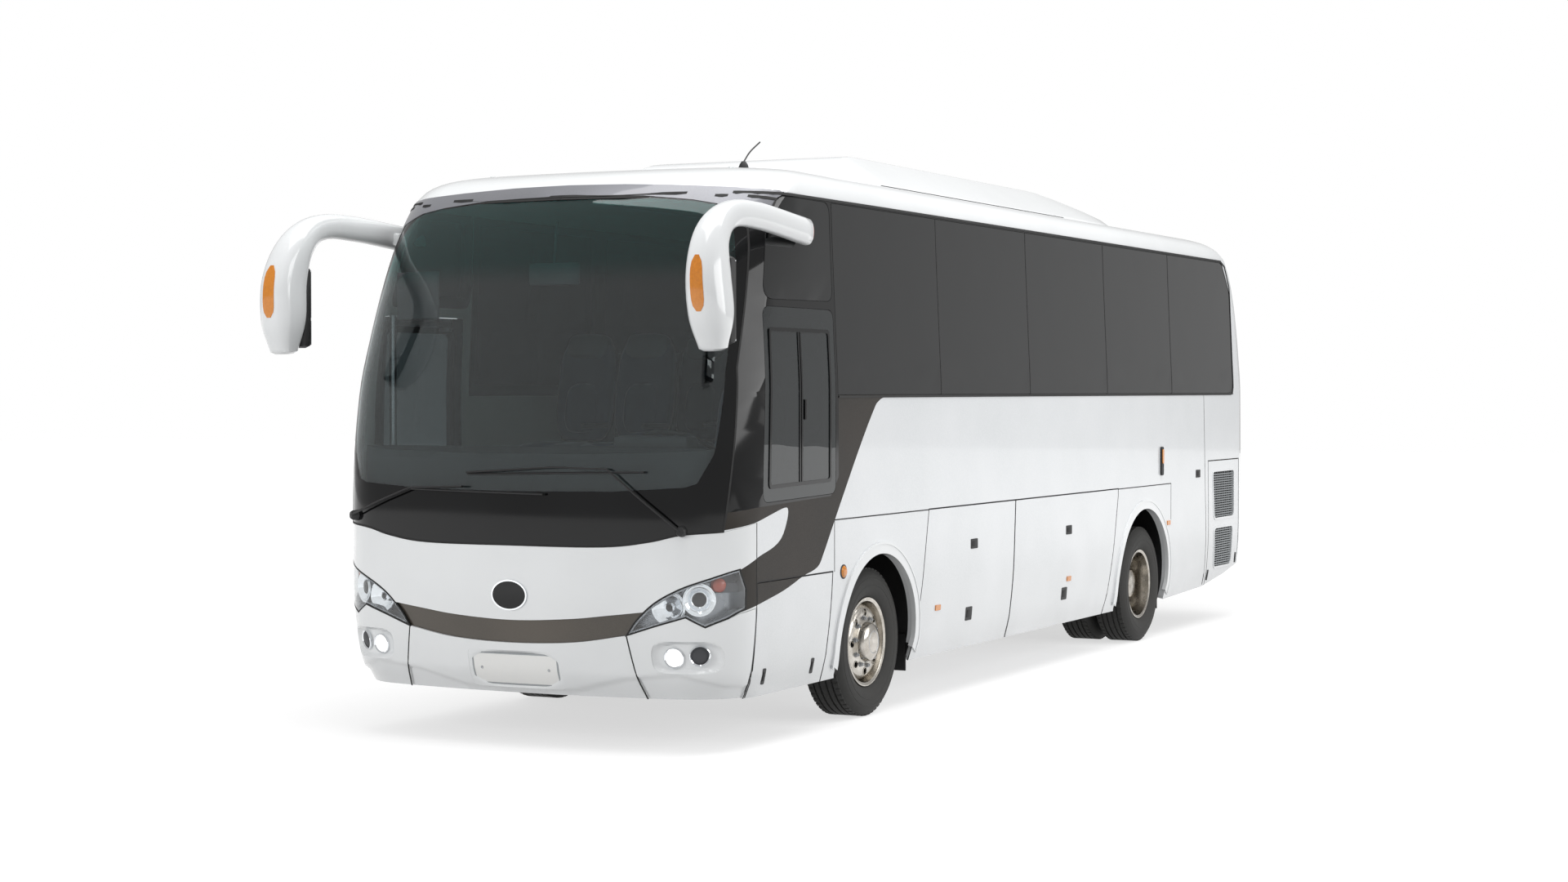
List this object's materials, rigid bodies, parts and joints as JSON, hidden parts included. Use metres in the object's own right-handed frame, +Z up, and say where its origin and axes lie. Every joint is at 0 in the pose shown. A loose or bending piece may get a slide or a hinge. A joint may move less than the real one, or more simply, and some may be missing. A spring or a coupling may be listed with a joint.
{
  "type": "coach bus",
  "caption": "Single-deck touring coach with a one-piece curved windscreen, horn-shaped mirrors, dark glass band, roof air conditioner, luggage flaps and a swing-out door.",
  "frame": {"origin": "on the ground, below the centre of the bounding box", "axes": "+X forward, +Y to the vehicle's left, +Z up"},
  "size_m": [9.7115, 2.854, 3.36],
  "materials": {
    "white_grp": "gloss white gel coat",
    "white_paint": "gloss white paint",
    "screen_glass": "laminated glass",
    "tinted_glass": "dark tinted glass",
    "lamp_clear": "clear lens over reflectors",
    "lamp_red": "red lens",
    "black_frame": "satin black",
    "satin_steel": "satin",
    "chassis_black": "matt black chassis paint",
    "floor_vinyl": "sheet flooring",
    "bay_sheet": "mill finish sheet",
    "black_plastic": "matt",
    "engine_iron": "painted casting",
    "tyre_rubber": "rubber",
    "polished_steel": "polished steel",
    "dark_plastic": "moulded, grained",
    "seat_fabric": "woven"
  },
  "bodies": {
    "coach": {"front_bumper": "white_grp", "front_panel": "white_grp", "windscreen": "screen_glass", "front_lamps": "lamp_clear", "side_wall_left": "white_paint", "side_wall_right": "white_paint", "side_glass": "tinted_glass", "roof": "white_grp", "rear_bumper": "white_grp", "rear_panel": "white_grp", "rear_window": "tinted_glass", "rear_lamps": "lamp_red", "air_conditioner": "white_grp", "mirrors": "white_grp", "chassis_frame": "chassis_black", "floor_deck": "floor_vinyl", "luggage_bay": "bay_sheet", "wheel_houses": "black_plastic", "engine_block": "engine_iron", "front_axle": "chassis_black", "rear_axle": "chassis_black", "dashboard": "dark_plastic", "steering_wheel": "dark_plastic", "seats": "seat_fabric"},
    "knuckle_left": {"knuckle_left": "chassis_black"},
    "knuckle_right": {"knuckle_right": "chassis_black"},
    "wheel_front_left": {"wheel_front_left": "polished_steel", "tyre_front_left": "tyre_rubber"},
    "wheel_front_right": {"wheel_front_right": "polished_steel", "tyre_front_right": "tyre_rubber"},
    "wheels_rear_left": {"wheels_rear_left": "polished_steel", "tyres_rear_left": "tyre_rubber"},
    "wheels_rear_right": {"wheels_rear_right": "polished_steel", "tyres_rear_right": "tyre_rubber"},
    "door_arm": {"door_arm": "satin_steel"},
    "passenger_door": {"passenger_door": "black_frame", "door_glass": "tinted_glass"},
    "luggage_flap_left_front": {"luggage_flap_left_front": "white_paint"},
    "luggage_flap_left_rear": {"luggage_flap_left_rear": "white_paint"},
    "luggage_flap_right_front": {"luggage_flap_right_front": "white_paint"},
    "luggage_flap_right_rear": {"luggage_flap_right_rear": "white_paint"},
    "service_flap_left": {"service_flap_left": "white_paint"},
    "engine_flap_left": {"engine_flap_left": "white_paint"},
    "engine_flap_right": {"engine_flap_right": "white_paint"},
    "engine_door": {"engine_door": "white_paint"}
  },
  "joints": [
    {"name": "steer_left", "type": "hinge", "parent": "coach", "child": "knuckle_left", "pos_m": [2.49425, 0.88, 0.4335], "axis": [0, 0, 1], "range_deg": [-40, 40]},
    {"name": "steer_right", "type": "hinge", "parent": "coach", "child": "knuckle_right", "pos_m": [2.49425, -0.88, 0.4335], "axis": [0, 0, 1], "range_deg": [-40, 40]},
    {"name": "roll_front_left", "type": "hinge", "parent": "knuckle_left", "child": "wheel_front_left", "pos_m": [2.49425, 1.039, 0.4335], "axis": [0, 1, 0], "continuous": true},
    {"name": "roll_front_right", "type": "hinge", "parent": "knuckle_right", "child": "wheel_front_right", "pos_m": [2.49425, -1.039, 0.4335], "axis": [0, 1, 0], "continuous": true},
    {"name": "roll_rear_left", "type": "hinge", "parent": "coach", "child": "wheels_rear_left", "pos_m": [-2.33575, 1.059, 0.4335], "axis": [0, 1, 0], "continuous": true},
    {"name": "roll_rear_right", "type": "hinge", "parent": "coach", "child": "wheels_rear_right", "pos_m": [-2.33575, -1.059, 0.4335], "axis": [0, 1, 0], "continuous": true},
    {"name": "door_arm_swing", "type": "hinge", "parent": "coach", "child": "door_arm", "pos_m": [3.96425, -1.14, 1.3], "axis": [0, 0, 1], "range_deg": [0, 115]},
    {"name": "door_parallel", "type": "hinge", "parent": "door_arm", "child": "passenger_door", "pos_m": [3.41425, -1.14, 1.3], "axis": [0, 0, 1], "range_deg": [-115, 0]},
    {"name": "luggage_flap_left_front_lift", "type": "hinge", "parent": "coach", "child": "luggage_flap_left_front", "pos_m": [1.19425, 1.25, 1.1817], "axis": [1, 0, 0], "range_deg": [0, 90]},
    {"name": "luggage_flap_left_rear_lift", "type": "hinge", "parent": "coach", "child": "luggage_flap_left_rear", "pos_m": [-0.50575, 1.25, 1.1817], "axis": [1, 0, 0], "range_deg": [0, 90]},
    {"name": "engine_flap_left_lift", "type": "hinge", "parent": "coach", "child": "engine_flap_left", "pos_m": [-4.20575, 1.25, 1.3287], "axis": [1, 0, 0], "range_deg": [0, 90]},
    {"name": "luggage_flap_right_front_lift", "type": "hinge", "parent": "coach", "child": "luggage_flap_right_front", "pos_m": [1.19425, -1.25, 1.1817], "axis": [-1, 0, 0], "range_deg": [0, 90]},
    {"name": "luggage_flap_right_rear_lift", "type": "hinge", "parent": "coach", "child": "luggage_flap_right_rear", "pos_m": [-0.50575, -1.25, 1.1817], "axis": [-1, 0, 0], "range_deg": [0, 90]},
    {"name": "engine_flap_right_lift", "type": "hinge", "parent": "coach", "child": "engine_flap_right", "pos_m": [-4.20575, -1.25, 1.3287], "axis": [-1, 0, 0], "range_deg": [0, 90]},
    {"name": "service_flap_left_lift", "type": "hinge", "parent": "coach", "child": "service_flap_left", "pos_m": [3.59425, 1.25, 0.8917], "axis": [1, 0, 0], "range_deg": [0, 90]},
    {"name": "engine_door_lift", "type": "hinge", "parent": "coach", "child": "engine_door", "pos_m": [-4.84895, 0, 1.6017], "axis": [0, 1, 0], "range_deg": [0, 80]}
  ],
  "couplings": [
    {"joint": "steer_right", "follows": "steer_left", "ratio": 1},
    {"joint": "door_parallel", "follows": "door_arm_swing", "ratio": -1}
  ]
}
